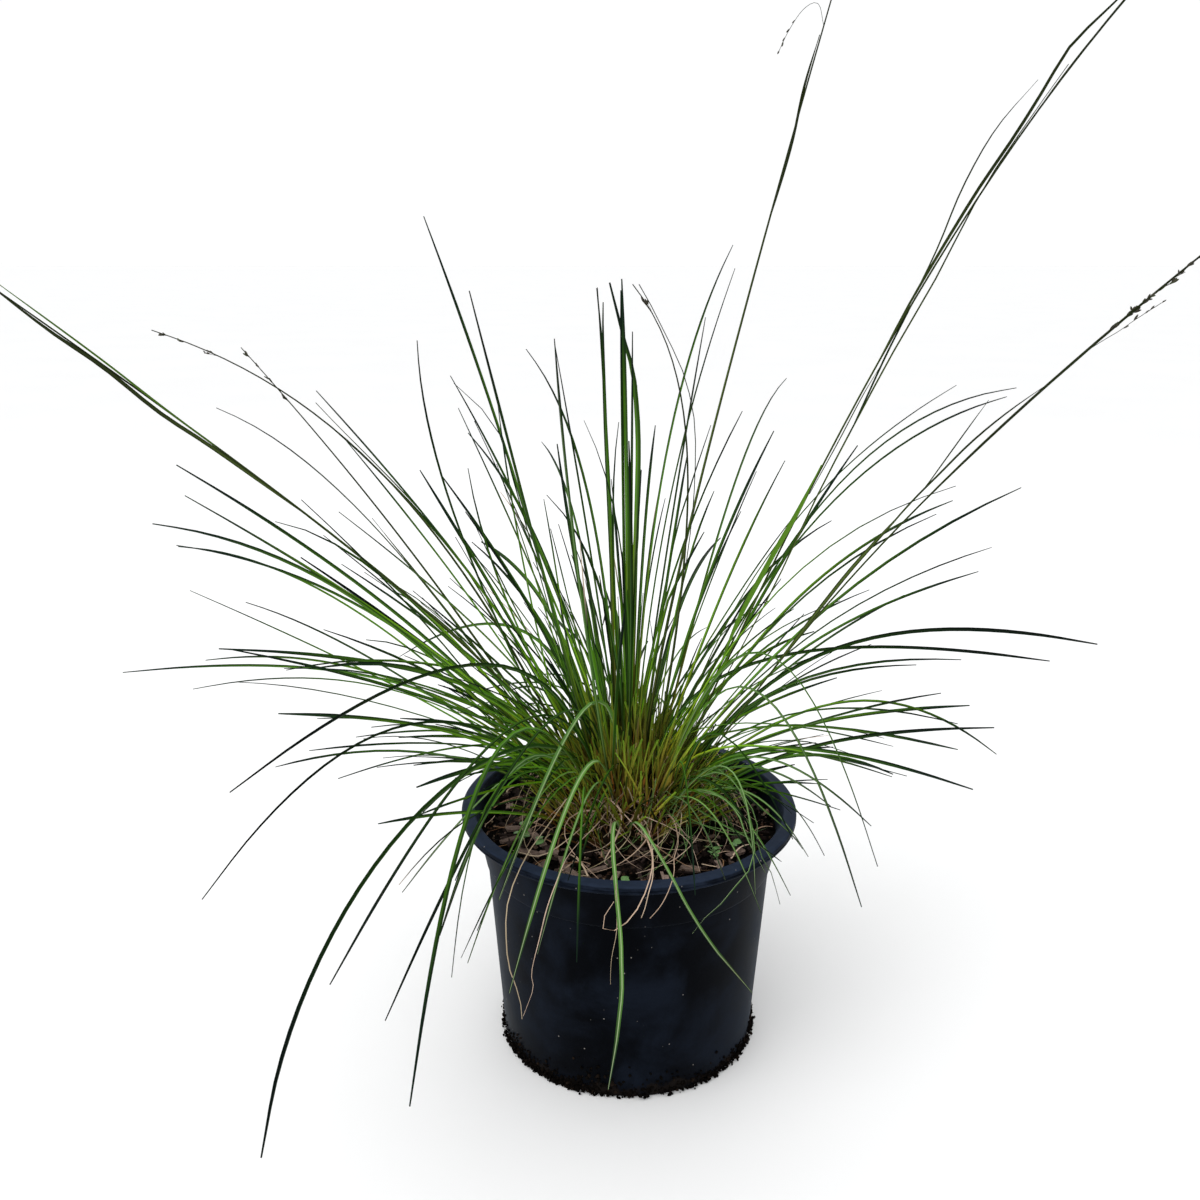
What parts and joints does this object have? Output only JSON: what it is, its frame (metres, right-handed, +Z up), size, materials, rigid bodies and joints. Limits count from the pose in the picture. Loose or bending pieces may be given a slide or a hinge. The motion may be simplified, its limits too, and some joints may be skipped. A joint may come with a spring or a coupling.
{
  "type": "potted prairie dropseed",
  "caption": "Clump of fine arching ornamental grass with open flower stems, growing in a round black nursery pot.",
  "frame": {"origin": "centre of the nursery pot's base", "axes": "+Z up along the pot's axis, -Y towards the side where leaves spill over the rim, +X to the right seen from that side"},
  "size_m": [0.7759, 0.4347, 0.7002],
  "materials": {
    "black_plastic": "satin",
    "potting_soil": "matte",
    "crown_sheaths": "matte",
    "leaf_green": "satin",
    "stem_green": "satin",
    "dry_straw": "matte"
  },
  "bodies": {
    "root": {"nursery_pot": "black_plastic", "potting_mix": "potting_soil", "crown": "crown_sheaths", "upright_leaf_01": "leaf_green", "upright_leaf_02": "leaf_green", "upright_leaf_03": "leaf_green", "upright_leaf_04": "leaf_green", "upright_leaf_05": "leaf_green", "upright_leaf_06": "leaf_green", "upright_leaf_07": "leaf_green", "upright_leaf_08": "leaf_green", "upright_leaf_09": "leaf_green", "left_leaf_01": "leaf_green", "left_leaf_02": "leaf_green", "left_leaf_03": "leaf_green", "left_leaf_04": "leaf_green", "left_leaf_05": "leaf_green", "left_leaf_06": "leaf_green", "left_leaf_07": "leaf_green", "left_leaf_08": "leaf_green", "left_leaf_09": "leaf_green", "left_leaf_10": "leaf_green", "left_leaf_11": "leaf_green", "left_leaf_12": "leaf_green", "left_leaf_13": "leaf_green", "left_leaf_14": "leaf_green", "front_leaf_01": "leaf_green", "front_leaf_02": "leaf_green", "front_leaf_03": "leaf_green", "front_leaf_04": "leaf_green", "front_leaf_05": "leaf_green", "right_leaf_01": "leaf_green", "right_leaf_02": "leaf_green", "right_leaf_03": "leaf_green", "right_leaf_04": "leaf_green", "right_leaf_05": "leaf_green", "right_leaf_06": "leaf_green", "right_leaf_07": "leaf_green", "right_leaf_08": "leaf_green", "right_leaf_09": "leaf_green", "right_leaf_10": "leaf_green", "arching_leaf_01": "leaf_green", "back_leaf_01": "leaf_green", "back_leaf_02": "leaf_green", "back_leaf_03": "leaf_green", "back_leaf_04": "leaf_green", "back_leaf_05": "leaf_green", "back_leaf_06": "leaf_green", "back_leaf_07": "leaf_green", "flower_stem_1": "stem_green", "flower_stem_2": "stem_green", "flower_stem_3": "stem_green", "flower_stem_4": "stem_green", "flower_stem_5": "stem_green", "flower_stem_6": "stem_green", "flower_stem_7": "stem_green", "dry_leaf_1": "dry_straw", "dry_leaf_2": "dry_straw", "dry_leaf_3": "dry_straw", "dry_leaf_4": "dry_straw"}
  },
  "joints": []
}
